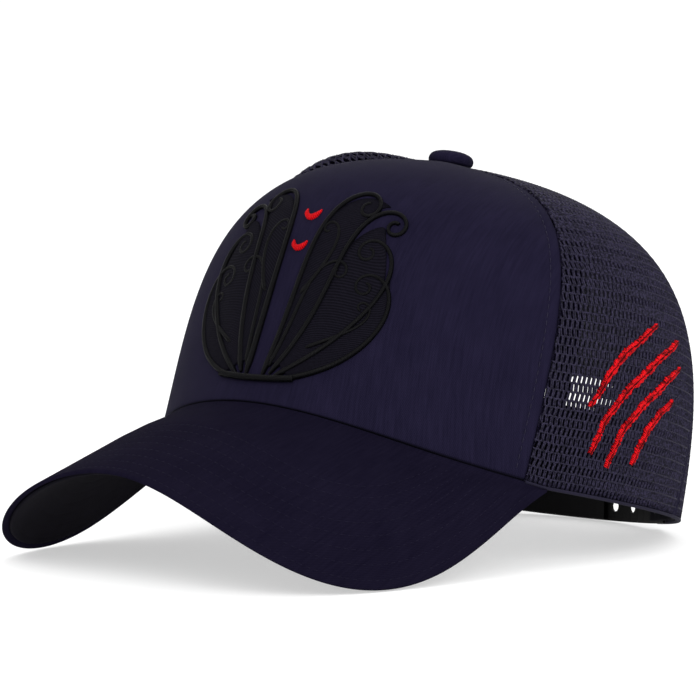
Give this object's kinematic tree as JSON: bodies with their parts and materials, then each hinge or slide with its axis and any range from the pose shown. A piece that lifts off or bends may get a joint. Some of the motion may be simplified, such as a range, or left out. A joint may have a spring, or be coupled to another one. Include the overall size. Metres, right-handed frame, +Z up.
{
  "type": "baseball cap",
  "caption": "Five-panel cap with a stiff cloth front, net sides and back, a deeply curved peak, a button on top, a rear arch with a fastened strap, and raised embroidery.",
  "frame": {"origin": "middle of the bounding box's bottom face, on the surface the cap rests on", "axes": "-Y towards the front of the peak, +X towards the wearer's left, +Z up"},
  "size_m": [0.193, 0.2568, 0.1426],
  "materials": {
    "navy_cloth": "matt twill",
    "peak_cloth": "matt twill with stitch rows",
    "black_cloth": "matt",
    "net": "open knitted net",
    "black_thread": "satin stitch",
    "red_thread": "satin stitch",
    "black_plastic": "satin"
  },
  "bodies": {
    "root": {"front_panel": "navy_cloth", "side_mesh_left": "net", "side_tape_left": "navy_cloth", "rear_mesh_left": "net", "side_mesh_right": "net", "side_tape_right": "navy_cloth", "rear_mesh_right": "net", "rear_tape": "navy_cloth", "arch_binding": "navy_cloth", "button": "navy_cloth", "peak_top": "peak_cloth", "peak_under": "black_cloth", "sweatband": "black_cloth", "strap_holes": "black_plastic", "strap_pegs": "black_plastic", "emblem": "black_thread", "emblem_accent_upper": "red_thread", "emblem_accent_lower": "red_thread", "claw_stroke_1": "red_thread", "claw_stroke_2": "red_thread", "claw_stroke_3": "red_thread", "claw_stroke_4": "red_thread"}
  },
  "joints": []
}
